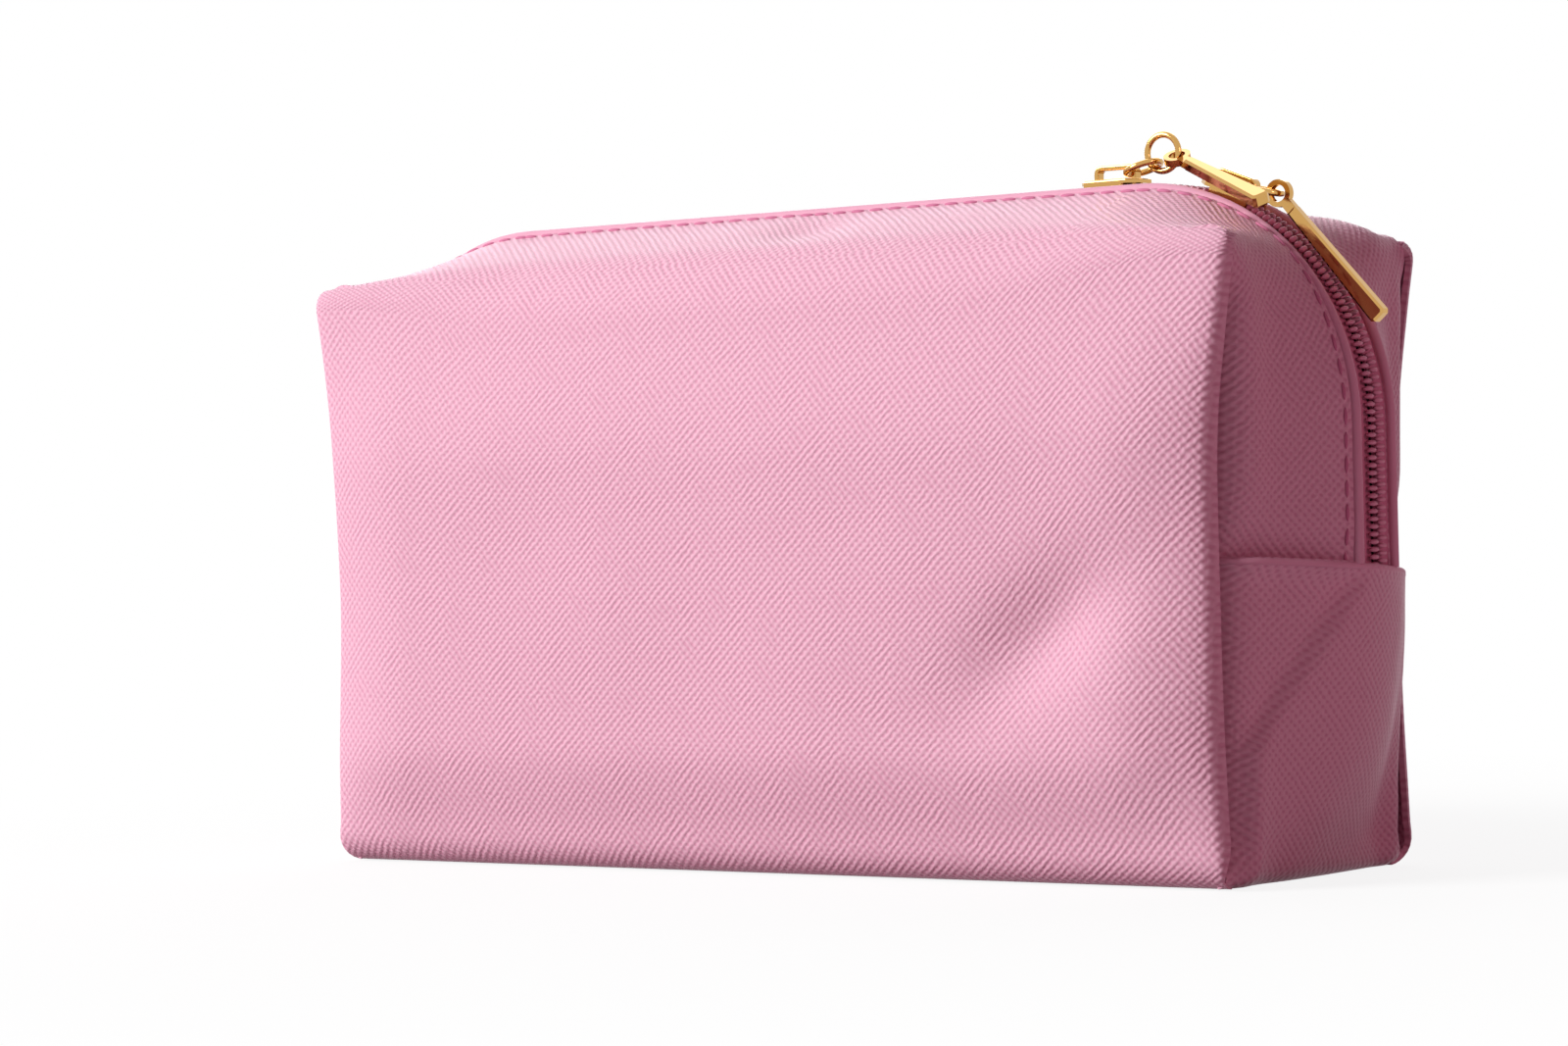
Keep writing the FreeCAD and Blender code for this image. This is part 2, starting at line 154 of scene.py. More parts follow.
def grainMaterial(name, colour, deep, rough, strength):
    # Two sets of slanting ribs that change places in soft patches
    mat, nodes, links, shader = newMaterial(name)
    uv = nodes.new("ShaderNodeUVMap").outputs["UV"]
    ribs = [waveNode(nodes, links, uv, angle, pitch, grain["warp"])
            for angle, pitch in zip(grain["angles"], grain["pitches"])]
    cloud = nodes.new("ShaderNodeTexNoise")
    cloud.inputs["Scale"].default_value = grain["cloudScale"]
    cloud.inputs["Detail"].default_value = 1.0
    links.new(uv, cloud.inputs["Vector"])
    share = mathNode(nodes, links, "MULTIPLY", cloud.outputs["Fac"], grain["crossShare"])
    blend = nodes.new("ShaderNodeMix")
    links.new(share, blend.inputs[0])
    links.new(ribs[0], blend.inputs[2])
    links.new(ribs[1], blend.inputs[3])
    height = blend.outputs[0]
    ramp = nodes.new("ShaderNodeValToRGB")
    low, high = ramp.color_ramp.elements
    low.position, low.color = grain["deepTo"], (*deep, 1)
    high.position, high.color = grain["fullFrom"], (*colour, 1)
    links.new(height, ramp.inputs["Fac"])
    links.new(ramp.outputs["Color"], shader.inputs["Base Color"])
    addBump(nodes, links, shader, height, strength, grain["depth"])
    shader.inputs["Roughness"].default_value = rough
    shader.inputs["Specular IOR Level"].default_value = grain["shine"]
    return mat


def weaveMaterial(name, colour, pitch, rough, strength):
    mat, nodes, links, shader = newMaterial(name)
    uv = nodes.new("ShaderNodeUVMap").outputs["UV"]
    one = waveNode(nodes, links, uv, weave["angle"], pitch, weave["warp"])
    two = waveNode(nodes, links, uv, -weave["angle"], pitch, weave["warp"])
    height = mathNode(nodes, links, "MAXIMUM", one, two)
    addBump(nodes, links, shader, height, strength, weave["depth"])
    shader.inputs["Base Color"].default_value = (*colour, 1)
    shader.inputs["Roughness"].default_value = rough
    shader.inputs["Specular IOR Level"].default_value = weave["shine"]
    return mat


def plainMaterial(name, colour, rough, metal=0.0):
    mat, _, _, shader = newMaterial(name)
    shader.inputs["Base Color"].default_value = (*colour, 1)
    shader.inputs["Roughness"].default_value = rough
    shader.inputs["Metallic"].default_value = metal
    shader.inputs["Specular IOR Level"].default_value = lerp(plainShine["matt"], plainShine["metal"], metal)
    return mat


skin = grainMaterial(
    "pinkGrain", colour=(0.79, 0.452, 0.565), deep=(0.69, 0.33, 0.45), rough=0.42, strength=0.7)
tapeCloth = weaveMaterial("zipTape", colour=(0.66, 0.26, 0.38), pitch=0.7, rough=0.75, strength=0.5)
liningCloth = weaveMaterial("liningCloth", colour=(0.30, 0.15, 0.19), pitch=0.8, rough=0.85, strength=0.4)
coilPlastic = plainMaterial("zipCoil", colour=(0.72, 0.31, 0.43), rough=0.38)
thread = plainMaterial("stitchThread", colour=(0.60, 0.20, 0.33), rough=0.6)
foldedSkin = plainMaterial("pinkFold", colour=(0.74, 0.37, 0.49), rough=0.5)
# Painted shade: near-black pink for the dark cords in the deep upright grooves
seamShade = plainMaterial("pinkSeamShade", colour=(0.16, 0.05, 0.085), rough=0.8)
gold = plainMaterial("paleGold", colour=(0.60, 0.345, 0.11), rough=0.1, metal=1.0)
print("materials done")

# Building helpers
crispAngle = 1.05  # edges that turn by more than this, in radians, are cut edges
caseMiddle = Vector((0, 0, 0.06))  # in metres
cordSides = 16


def finishPiece(name, bm, material):
    for edge in bm.edges:
        edge.smooth = edge.calc_face_angle(0) < crispAngle
    mesh = bpy.data.meshes.new(name)
    bm.to_mesh(mesh)
    bm.free()
    mesh.materials.append(material)
    for face in mesh.polygons:
        face.use_smooth = True
    obj = bpy.data.objects.new(name, mesh)
    bpy.context.scene.collection.objects.link(obj)
    return obj


def mapUpright(bm):
    # A plain flat map: along the piece and up
    layer = bm.loops.layers.uv.new("flat")
    for face in bm.faces:
        for loop in face.loops:
            co = loop.vert.co
            loop[layer].uv = (co.x + co.y, co.z)


def spotKey(v):
    # Finds a vertex again by its place
    return tuple(round(c, 7) for c in v.co)


def thicken(bm, thick, weigh=None):
    # Gives an open sheet its thickness on the side towards the middle of the case
    bm.normal_update()
    faces = bm.faces[:]
    outward = sum(f.normal.dot(f.calc_center_median() - caseMiddle) for f in faces)
    if outward < 0:
        bmesh.ops.reverse_faces(bm, faces=faces)
        bm.normal_update()
    shift = {spotKey(v): v.normal * (weigh(v) if weigh else 1) for v in bm.verts}
    made = bmesh.ops.extrude_face_region(bm, geom=faces, use_keep_orig=True)
    for item in made["geom"]:
        if isinstance(item, bmesh.types.BMVert):
            item.co -= shift[spotKey(item)] * thick
    bmesh.ops.recalc_face_normals(bm, faces=bm.faces[:])


def sheetGrid(name, us, vs, place, flat, material, thick, thin=None):
    # A sheet over the steps us and vs: place gives its points, flat its flat map, thin where it is thinner
    bm = bmesh.new()
    nu, nv = len(us) - 1, len(vs) - 1
    bmesh.ops.create_grid(bm, x_segments=nu, y_segments=nv, size=1)
    layer = bm.loops.layers.uv.new("flat")
    spots = {}
    for v in bm.verts:
        i, j = round((v.co.x + 1) / 2 * nu), round((v.co.y + 1) / 2 * nv)
        spots[v] = (us[i], vs[j])
    for face in bm.faces:
        for loop in face.loops:
            loop[layer].uv = Vector(flat(*spots[loop.vert])) / mmPerMetre
    for v, spot in spots.items():
        v.co = Vector(place(*spot)) / mmPerMetre
    thicken(bm, thick / mmPerMetre, (lambda v: thin(*spots[v])) if thin else None)
    return finishPiece(name, bm, material)


def tube(name, points, radius, material):
    # A round cord along points, closed at both ends
    bm = bmesh.new()
    made = bmesh.ops.create_circle(bm, cap_ends=True, radius=radius / mmPerMetre, segments=cordSides)
    ring = made["verts"]
    spots = [Vector(p) / mmPerMetre for p in points]
    heading = (spots[1] - spots[0]).normalized()
    turn = Vector((0, 0, 1)).rotation_difference(heading)
    for v in ring:
        v.co = turn @ v.co + spots[0]
    face = ring[0].link_faces[0]
    for i in range(1, len(spots)):
        ahead = (spots[min(i + 1, len(spots) - 1)] - spots[i - 1]).normalized()
        bend = heading.rotation_difference(ahead)
        made = bmesh.ops.extrude_face_region(bm, geom=[face])
        if i > 1:
            bmesh.ops.delete(bm, geom=[face], context="FACES_ONLY")  # no wall left inside the cord
        for v in made["geom"]:
            if isinstance(v, bmesh.types.BMVert):
                v.co = bend @ (v.co - spots[i - 1]) + spots[i]
        face = next(g for g in made["geom"] if isinstance(g, bmesh.types.BMFace))
        heading = ahead
    bmesh.ops.recalc_face_normals(bm, faces=bm.faces[:])
    mapUpright(bm)
    return finishPiece(name, bm, material)


# The outline that the pieces share: side edges as (height, half width), a cross seam that sags to the back
sideLine = [(0, 108.3), (30, 107.2), (60, 106.8), (85, 107.6), (105, 110.0), (120, 112.4)]
crossSeam = {"front": 59.6, "back": 55.0, "lift": 0.3}  # the gussets end above it by lift
ear = {
    "reach": 110.8, "round": 5.0, "lip": 0.7,
    "settle": 9.0,  # below the ear the seam comes back to the side line over this height
    "turn": 0.5,  # share of the zip's corner that the top slopes along
}
topTurn = {
    "middle": 15.0, "ears": 5.5, "tightens": (55.0, 52.0),  # radius, and where it tightens
    "tuck": 0.25, "tuckFades": (0.2, 0.25),  # the flap's edge dips under the panel's
}


def sideEdge(z):
    return through(sideLine, z)


def seamTop(y):
    return lerp(crossSeam["front"], crossSeam["back"], (y / case["seamY"] + 1) / 2)


def bendAt(x):
    # Radius of the soft turn from the front to the top, tight only at the ears
    return lerp(topTurn["middle"], topTurn["ears"], ease(abs(x), *topTurn["tightens"]))


def slopeTo(high):
    return (high - case["height"]) / (case["innerY"] - zipLine["slot"])


def softTurn(r, slope):
    # Angle of the turn from the front to the top, and the height where it starts
    angle = math.pi / 2 - math.atan(slope)
    return angle, case["height"] - (case["halfDepth"] - case["innerY"]) * slope - r * math.tan(angle / 2)


def topPoint(s, r, high):
    # (y, z) on the top: from the middle of the soft turn at s = 0 to the edge beside the zip at s = 1
    angle, start = softTurn(r, slopeTo(high))
    arc = r * angle / 2
    centre = case["halfDepth"] - r
    yEnd, zEnd = centre + r * math.cos(angle), start + r * math.sin(angle)
    rest = math.hypot(yEnd - zipLine["slot"], high - zEnd)
    run = s * (arc + rest)
    if run < arc:
        turn = angle / 2 + run / r
        near = r - topTurn["tuck"] * (1 - ease(run / arc, *topTurn["tuckFades"]))
        return centre + near * math.cos(turn), start + near * math.sin(turn)
    t = (run - arc) / rest
    return lerp(yEnd, zipLine["slot"], t), lerp(zEnd, high, t)


def zipEdge(a):
    # Edge beside the zip: a runs 0 to 1 round the corner, then 1 to 2 down the end
    radius = zipLine["radius"] + zipLine["edgeLift"]
    if a > 1:
        return zipLine["cornerX"] + radius, lerp(zipLine["cornerZ"], case["seam"] + crossSeam["lift"], a - 1)
    turn = math.radians(90 * a)
    return zipLine["cornerX"] + radius * math.sin(turn), zipLine["cornerZ"] + radius * math.cos(turn)


def topSlope(x):
    share = max(0, (abs(x) - zipLine["cornerX"]) / (case["halfWidth"] - zipLine["cornerX"]))
    return slopeTo(zipEdge(ear["turn"] * min(1, share))[1])


# Gussets: the corners and upper ends beside the zip
gusset = {
    "inset": 0.9, "lipDrop": 1.4, "flatArc": 69,  # flatArc: length of the corner in the flat map
    "topFades": (0.34, 0.1), "endStarts": (0.52, 0.2), "dentsFrom": (0, 0.35),  # start and length
    "sag": 0.8, "sagAt": 0.55, "sagWide": 0.35, "sagReach": 1.15,
    "backSwell": 3.2, "backSwellAt": (0.42, 0.45), "backSwellWide": (0.22, 0.3),
    "groove": 4.6, "grooveWide": 0.075,  # beside the upright seam
    "shoulder": 2.0, "shoulderAt": 0.19, "shoulderWide": 0.15, "shoulderFades": (1.3, 0.6),
    "tuck": 2.2, "tuckStarts": (1.7, 0.3),  # behind the cross seam
    "waver": 0.35, "waverScale": 22, "waverSeed": 3,
}


def topPath(a):
    # Seam side of a gusset: a runs 0 to 1 over the ear, then 1 to 2 down the end
    if a > 1:
        z = lerp(zipLine["cornerZ"], case["seam"] + crossSeam["lift"], a - 1)
        return sideEdge(z) - gusset["inset"], z
    r = ear["round"]
    over = ear["reach"] - r - zipLine["cornerX"]
    turned = math.pi * r / 2
    down = case["height"] - r - zipLine["cornerZ"]
    run = a * (over + turned + down)
    if run < over:
        return zipLine["cornerX"] + run, case["height"]
    if run < over + turned:
        turn = (run - over) / r
        return ear["reach"] - r + r * math.sin(turn), case["height"] - r + r * math.cos(turn)
    fallen = run - over - turned
    z = case["height"] - r - fallen
    return lerp(ear["reach"], sideEdge(z) - gusset["inset"], ease(fallen, 0, ear["settle"])), z


def gussetDent(a, s, sy):
    # How far the folds of a gusset go in
    onEnd = ease(a, *gusset["endStarts"])
    sag = math.sin(math.pi * min(1, s * gusset["sagReach"]))
    dent = gusset["sag"] * sag * bell(a - gusset["sagAt"], gusset["sagWide"])
    if sy > 0:
        swellA, swellS = gusset["backSwellAt"]
        dent -= gusset["backSwell"] * hump(a - swellA, s - swellS, *gusset["backSwellWide"])
    dent += onEnd * gusset["groove"] * bell(max(0, s), gusset["grooveWide"])
    shoulder = gusset["shoulder"] * bell(s - gusset["shoulderAt"], gusset["shoulderWide"])
    dent -= onEnd * shoulder * (1 - ease(a, *gusset["shoulderFades"]))
    dent += gusset["tuck"] * ease(a, *gusset["tuckStarts"]) * (1 - max(0, s) ** 4)
    if s < 0:
        dent += gusset["lipDrop"] * (1 - onEnd)
    return dent


def gussetPoint(a, s, sx, sy):
    seamX, seamZ = topPath(a)
    edgeX, edgeZ = zipEdge(a)
    x, y, z = lerp(seamX, edgeX, s), lerp(case["seamY"], zipLine["slot"], s), lerp(seamZ, edgeZ, s)
    outX = (edgeX - zipLine["cornerX"]) / zipLine["radius"]
    outZ = (edgeZ - zipLine["cornerZ"]) / zipLine["radius"]
    if a > 1:
        z = lerp(zipLine["cornerZ"], seamTop(sy * y) + crossSeam["lift"], a - 1)
        outX, outZ = 1, 0
    onTop = 1 - ease(a, *gusset["topFades"])
    if onTop > 0:
        yTop, zTop = topPoint(s, bendAt(seamX), edgeZ)
        y, z = lerp(y, yTop, onTop), lerp(z, zTop, onTop)
    waver = wander(x, y * sy, z, gusset["waverScale"], sx * gusset["waverSeed"] + sy) * math.sin(math.pi * s)
    inward = (gussetDent(a, s, sy) + gusset["waver"] * waver) * ease(a, *gusset["dentsFrom"])
    return sx * (x - outX * inward), sy * y, z - outZ * inward


# Top flaps
flap = {
    "flatLength": 29.8, "lipBelow": -0.01, "lipDrop": 1.0,
    "swell": 0.5, "swellStarts": (0.25, 0.35),
    "dent": 1.5, "dentAt": (6, 0.55), "dentWide": (10, 0.2), "backDentShare": 0.5,
    "waver": 0.35, "waverScale": 26, "waverSeed": 5,
    "liningBelow": 1.7, "liningThick": 0.5, "liningFrom": 6,  # liningFrom: its first step across
}


def flapPoint(x, s, sy):
    y, z = topPoint(s, bendAt(x), zipLine["top"] + zipLine["edgeLift"])
    if s < flap["lipBelow"]:
        y, z = y - flap["lipDrop"], z - flap["lipDrop"]
    loose = math.sin(math.pi * s) * ease(s, *flap["swellStarts"]) * (1 - (x / zipLine["cornerX"]) ** 4)
    dentX, dentS = flap["dentAt"]
    dent = flap["dent"] * hump(x - dentX, s - dentS, *flap["dentWide"])
    waver = flap["waver"] * wander(x, y * sy, 0, flap["waverScale"], sy * flap["waverSeed"])
    z += (flap["swell"] + waver) * loose - dent * (1 if sy < 0 else flap["backDentShare"])
    return x, sy * y, z


# Front and back panels
panel = {
    "footRadius": 6.0, "footSteps": 7, "wallSteps": 56, "turnSteps": 9,
    "turnShare": 0.62,  # of the soft turn that the panel covers
    "footNarrow": 0.022, "footNarrowTo": 7.0,
    "swellStarts": (1, 24), "swellEnds": 119, "swellFades": 40,
    "crown": 4.6, "crownRadius": 62, "crownRim": 24,
    "roll": 2.6, "rollOver": 8,  # rounded side edges
    "waver": 0.55, "waverScale": 34, "waverSeed": 2.0, "waverY": 30,
    "flatHalf": 108, "flatSteps": 88, "flatShare": 0.955, "rimSteps": 7, "rimShare": 0.024,
    "edgeThin": 0.06, "edgeRows": 3,  # the top edge thins out under the flap
}
frontDent = {"depth": 3.4, "x": 72, "z": 46, "along": 0.8, "up": 0.6, "long": 19, "wide": 9}
frontSwell = {"height": 0.9, "x": 92, "z": 30, "wide": 12, "high": 16}


def panelProfile(x):
    # (y, z) points from under the foot, up the wall and part of the way over the soft turn
    foot, r = panel["footRadius"], bendAt(x)
    angle, start = softTurn(r, topSlope(x))
    face = -case["halfDepth"]
    points = []
    for i in range(panel["footSteps"]):
        turn = math.pi / 2 * i / panel["footSteps"]
        points.append((face + foot - foot * math.sin(turn), foot - foot * math.cos(turn)))
    for i in range(panel["wallSteps"]):
        points.append((face, lerp(foot, start, i / panel["wallSteps"])))
    for i in range(panel["turnSteps"] + 1):
        turn = angle * panel["turnShare"] * i / panel["turnSteps"]
        points.append((face + r - r * math.cos(turn), start + r * math.sin(turn)))
    return points


def panelCrown(x, z, depth, sy):
    # How far the wall stands out, depth in from its side edge
    radius = panel["crownRadius"]
    fall = max(0, panel["crownRim"] - depth)
    crown = panel["crown"] - radius + math.sqrt(radius ** 2 - fall ** 2)
    if sy < 0:
        dx, dz = x - frontDent["x"], z - frontDent["z"]
        along, up = frontDent["along"], frontDent["up"]
        crown -= frontDent["depth"] * hump(
            dx * along + dz * up, dz * along - dx * up, frontDent["long"], frontDent["wide"])
        crown += frontSwell["height"] * hump(
            x - frontSwell["x"], z - frontSwell["z"], frontSwell["wide"], frontSwell["high"])
    waver = wander(x, sy * panel["waverY"], z, panel["waverScale"], panel["waverSeed"])
    return crown + panel["waver"] * waver


def panelPoint(u, row, sy):
    y, z = panelProfile(u * case["halfWidth"])[row]
    edge = sideEdge(z)
    depth = (1 - abs(u)) * edge
    x = u * edge * (1 - panel["footNarrow"] * max(0, 1 - z / panel["footNarrowTo"]) ** 2)
    onWall = ease(z, *panel["swellStarts"]) * ease(panel["swellEnds"] - z, 0, panel["swellFades"])
    y -= panelCrown(x, z, depth, sy) * onWall
    roll = panel["roll"] * ease(z, 0, panel["rollOver"])
    if depth < roll:
        y += roll - math.sqrt(roll * roll - (roll - depth) ** 2)
    # The ears are rounded off
    cornerX, cornerZ = ear["reach"] - ear["round"], case["height"] - ear["round"]
    offX, offZ, reach = abs(x) - cornerX, z - cornerZ, ear["round"] + ear["lip"]
    if offX > 0 and offZ > 0 and math.hypot(offX, offZ) > reach:
        pull = reach / math.hypot(offX, offZ)
        x, z = math.copysign(cornerX + offX * pull, x), cornerZ + offZ * pull
    return x, -sy * y, z


middleProfile = panelProfile(0)
rows = list(range(len(middleProfile)))
lengths = [0]
for i in rows[1:]:
    lengths.append(lengths[-1] + math.dist(middleProfile[i], middleProfile[i - 1]))
rimTurns = [math.pi / 2 * i / panel["rimSteps"] for i in range(panel["rimSteps"])]
rim = [1 - panel["rimShare"] * (1 - math.cos(turn)) for turn in rimTurns]
flatPart = steps(-panel["flatShare"], panel["flatShare"], panel["flatSteps"])
spread = [-u for u in rim] + flatPart + rim[::-1]

# Seam allowance under the top flap, seen when the mouth is open
underFold = {"half": 100, "stepsX": 60, "turnFrom": 0.42, "turnStep": 0.06, "turns": 10,
             "below": 1.25, "thick": 0.8, "flatLength": 20}


def underPoint(x, t, sy):
    r = bendAt(x)
    angle, start = softTurn(r, topSlope(x))
    near = r - underFold["below"]
    return x, sy * (case["halfDepth"] - r + near * math.cos(angle * t)), start + near * math.sin(angle * t)


for sideName, sy in caseSides:
    wall = sheetGrid(
        "panel" + sideName, spread, rows,
        lambda u, row: panelPoint(u, row, sy), lambda u, row: (u * panel["flatHalf"], lengths[row]),
        skin, case["thick"],
        lambda u, row: lerp(1, panel["edgeThin"], ease(row, rows[-1] - panel["edgeRows"], panel["edgeRows"])))
    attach(wall, "case")
    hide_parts(sideName.lower() + "_panel")
    under = sheetGrid(
        "underFold" + sideName, steps(-underFold["half"], underFold["half"], underFold["stepsX"]),
        [underFold["turnFrom"] + underFold["turnStep"] * i for i in range(underFold["turns"])],
        lambda x, t: underPoint(x, t, sy), lambda x, t: (x, t * underFold["flatLength"]),
        skin, underFold["thick"])
    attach(under, "case")

# Base, flat between the feet of the panels
base = {"halfX": 104.4, "halfY": case["halfDepth"] - panel["footRadius"], "stepsX": 40, "stepsY": 14}
bottom = sheetGrid(
    "panelBase", steps(-base["halfX"], base["halfX"], base["stepsX"]),
    steps(-base["halfY"], base["halfY"], base["stepsY"]),
    lambda x, y: (x, y, 0.0), lambda x, y: (x, y), skin, case["thick"])
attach(bottom, "case")
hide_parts("base_panel")
print("panels done")

# Lower ends: puffed panels under the cross seam
lowerEnd = {
    "inset": 1.1, "puff": [(0, 0.8), (20, 5.4), (40, 9.2), (60, 13.2)],  # (height, bulge)
    "groove": 5.2, "grooveWide": 2.1, "grooveStarts": (1, 9),  # beside the upright seams
    "ridge": 1.2, "ridgeAt": 5, "ridgeWide": 4,
    "foot": 4, "levelTo": 5,  # rounded foot; above levelTo the rows lean with the cross seam
    "swell": 1.6, "swellAt": (4, 34), "swellWide": (18, 18),
    "waver": 0.5, "waverScale": 14, "waverSeed": 4.0, "waverSide": 9,
    "footRows": [0.15, 0.6, 1.3, 2.2, 3.4], "wallFrom": 4.8, "wallSteps": 38, "stepsY": 72,
}
# A folded strip beside the front seam, and a facet that falls away towards the back of the foot
endFold = {"step": 2.6, "lowY": -26.5, "highY": -6, "leansFrom": 25, "leansOver": 32, "edge": (-1.6, 3.2),
           "footFades": (0, 10), "seamFrom": 61, "seamFades": 5}
endFacet = {"fall": 0.7, "soft": 4, "y": 3, "z": 16, "across": 0.669, "up": 0.743,
            "seamFades": (0, 12), "footFades": (-2, 10)}
lowerLip = {"radius": 0.64, "drop": 0.15, "skip": 4}
# Turned-in allowance that closes the cross seam behind the folded edge
allowance = {"edge": 0.5, "least": 1, "reach": 10, "innerX": 105.4, "drop": 0.6, "tilt": 0.5,
             "skip": 8, "rows": [0, 0.33, 0.67, 1], "thick": 0.6, "flatLength": 9}
# Dark cords at the bottom of the upright grooves, painted shade standing in for the groove's shadow
shadeCord = {"inset": 4.4, "y": 31.9, "low": 4, "high": 113, "steps": 24, "radius": 1.3}


def lowerEndPoint(y, z, sx):
    edge, depth = sideEdge(z), case["seamY"] - abs(y)
    bulge = case["halfWidth"] - edge + through(lowerEnd["puff"], z)
    x = edge - lowerEnd["inset"] + bulge * (1 - (y / case["seamY"]) ** 2)
    x -= lowerEnd["groove"] * bell(depth, lowerEnd["grooveWide"]) * ease(z, *lowerEnd["grooveStarts"])
    x += lowerEnd["ridge"] * bell(depth - lowerEnd["ridgeAt"], lowerEnd["ridgeWide"])
    foot = lowerEnd["foot"]
    if z < foot:
        x -= foot - math.sqrt(foot ** 2 - (foot - z) ** 2)
    lean = max(0, min(1, (z - endFold["leansFrom"]) / endFold["leansOver"]))
    foldY = lerp(endFold["lowY"], endFold["highY"], lean)
    inStrip = 1 - ease(y - foldY, *endFold["edge"])
    fades = ease(z, *endFold["footFades"]) * ease(endFold["seamFrom"] - z, 0, endFold["seamFades"])
    x -= endFold["step"] * inStrip * fades
    away = (y - endFacet["y"]) * endFacet["across"] - (z - endFacet["z"]) * endFacet["up"]
    fall = endFacet["fall"] * math.log1p(math.exp(away / endFacet["soft"]))
    x -= fall * ease(depth, *endFacet["seamFades"]) * ease(z, *endFacet["footFades"])
    swellY, swellZ = lowerEnd["swellAt"]
    x += lowerEnd["swell"] * hump(y - swellY, z - swellZ, *lowerEnd["swellWide"])
    x += lowerEnd["waver"] * wander(
        y, z, sx * lowerEnd["waverSide"], lowerEnd["waverScale"], lowerEnd["waverSeed"])
    level = lowerEnd["levelTo"]
    if z > level:
        z = lerp(level, seamTop(y), (z - level) / (case["seam"] - level))
    return sx * x, y, z


def lipPoint(y, sx):
    inside = Vector((-sx * lowerLip["radius"], 0, -lowerLip["drop"]))
    return Vector(lowerEndPoint(y, case["seam"], sx)) + inside


def allowancePoint(y, t, sx):
    x, y, z = lowerEndPoint(y, case["seam"], sx)
    out = abs(x)
    inner = min(out - allowance["least"], max(allowance["innerX"], out - allowance["reach"]))
    return sx * lerp(out - allowance["edge"], inner, t), y, z - allowance["drop"] - allowance["tilt"] * t


endY = [case["seamY"] * math.sin(math.pi / 2 * t) for t in steps(-1, 1, lowerEnd["stepsY"])]
endZ = lowerEnd["footRows"] + steps(lowerEnd["wallFrom"], case["seam"], lowerEnd["wallSteps"])
lipY = endY[lowerLip["skip"]:-lowerLip["skip"]]
allowanceY = endY[allowance["skip"]:-allowance["skip"]]
shadeCordZ = steps(shadeCord["low"], shadeCord["high"], shadeCord["steps"])
for endName, sx in caseEnds:
    lower = sheetGrid(
        "lowerEnd" + endName, endY, endZ, lambda y, z: lowerEndPoint(y, z, sx),
        lambda y, z: (y, z), skin, case["thick"])
    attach(lower, "case")
    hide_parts("lower_end_" + endName.lower())
    lip = tube(
        "lowerLip" + endName, [lipPoint(y, sx) for y in lipY], lowerLip["radius"], foldedSkin)
    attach(lip, "case")
    turnedIn = sheetGrid(
        "seamAllowance" + endName, allowanceY, allowance["rows"], lambda y, t: allowancePoint(y, t, sx),
        lambda y, t: (y, case["seam"] + allowance["flatLength"] * t),
        skin, allowance["thick"])
    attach(turnedIn, "case")
    for sideName, sy in caseSides:
        # Painted shade: a dark cord laid in each upright groove where the groove's shadow falls
        shadeTube = tube(
            "shadeCord" + sideName + endName,
            [(sx * (sideEdge(z) - shadeCord["inset"]), sy * shadeCord["y"], z) for z in shadeCordZ],
            shadeCord["radius"], seamShade)
        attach(shadeTube, "case")
print("ends done")

# The zip line, with d in millimetres from the middle of the top, and what is sewn along it in four stretches
alongSteps = steps(0, 1, 40) + steps(1, 2, 12)[1:]
acrossSteps = [-0.045, -0.002, 0.02, 0.05, 0.09, 0.14] + steps(0.2, 1, 16)
arcLength = zipLine["radius"] * math.pi / 2
endLength = zipLine["cornerZ"] - seamTop(0) - crossSeam["lift"]
fullRun = zipLine["cornerX"] + arcLength + endLength
stretches = {
    "Left": (-fullRun, -zipLine["cornerX"]),
    "TopLeft": (-zipLine["cornerX"], 0),
    "TopRight": (0, zipLine["cornerX"]),
    "Right": (zipLine["cornerX"], fullRun),
}
stretchStep = {"length": 2, "fewest": 20}


def pathFrame(d):
    # Point, direction and outward normal of the zip line
    side = 1 if d >= 0 else -1
    run = abs(d) - zipLine["cornerX"]
    if run <= 0:
        return Vector((d, 0, zipLine["top"])), Vector((1, 0, 0)), Vector((0, 0, 1))
    turn = min(run / zipLine["radius"], math.pi / 2)
    out = Vector((side * math.sin(turn), 0, math.cos(turn)))
    corner = Vector((side * zipLine["cornerX"], 0, zipLine["cornerZ"]))
    down = Vector((0, 0, max(0, run - arcLength)))
    return corner + out * zipLine["radius"] - down, Vector((math.cos(turn), 0, -side * math.sin(turn))), out


def surfaceAt(d, s, sy):
    # Point of the flap or gusset beside the zip line
    run = abs(d) - zipLine["cornerX"]
    if run <= 0:
        return Vector(flapPoint(d, s, sy))
    a = run / arcLength if run <= arcLength else 1 + (run - arcLength) / endLength
    return Vector(gussetPoint(min(a, 2), s, 1 if d > 0 else -1, sy))


def carry(obj, stretch):
    # End stretches stay with the case
    if not stretch.startswith("Top"):
        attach(obj, "case")
        return
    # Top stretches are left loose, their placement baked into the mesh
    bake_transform(obj)


def topSheets(tag, sideName, sy, stretch, ds):
    def flat(x, s):
        return x, s * flap["flatLength"]

    below = Vector((0, 0, flap["liningBelow"]))
    sheet = sheetGrid(
        "flap" + tag, ds, acrossSteps, lambda x, s: flapPoint(x, s, sy), flat,
        skin, case["thick"])
    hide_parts("top_flap_" + sideName.lower())
    carry(sheet, stretch)
    lining = sheetGrid(
        "flapLining" + tag, ds, acrossSteps[flap["liningFrom"]:],
        lambda x, s: Vector(flapPoint(x, s, sy)) - below, flat, liningCloth, flap["liningThick"])
    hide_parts("flap_lining_" + sideName.lower())
    carry(lining, stretch)


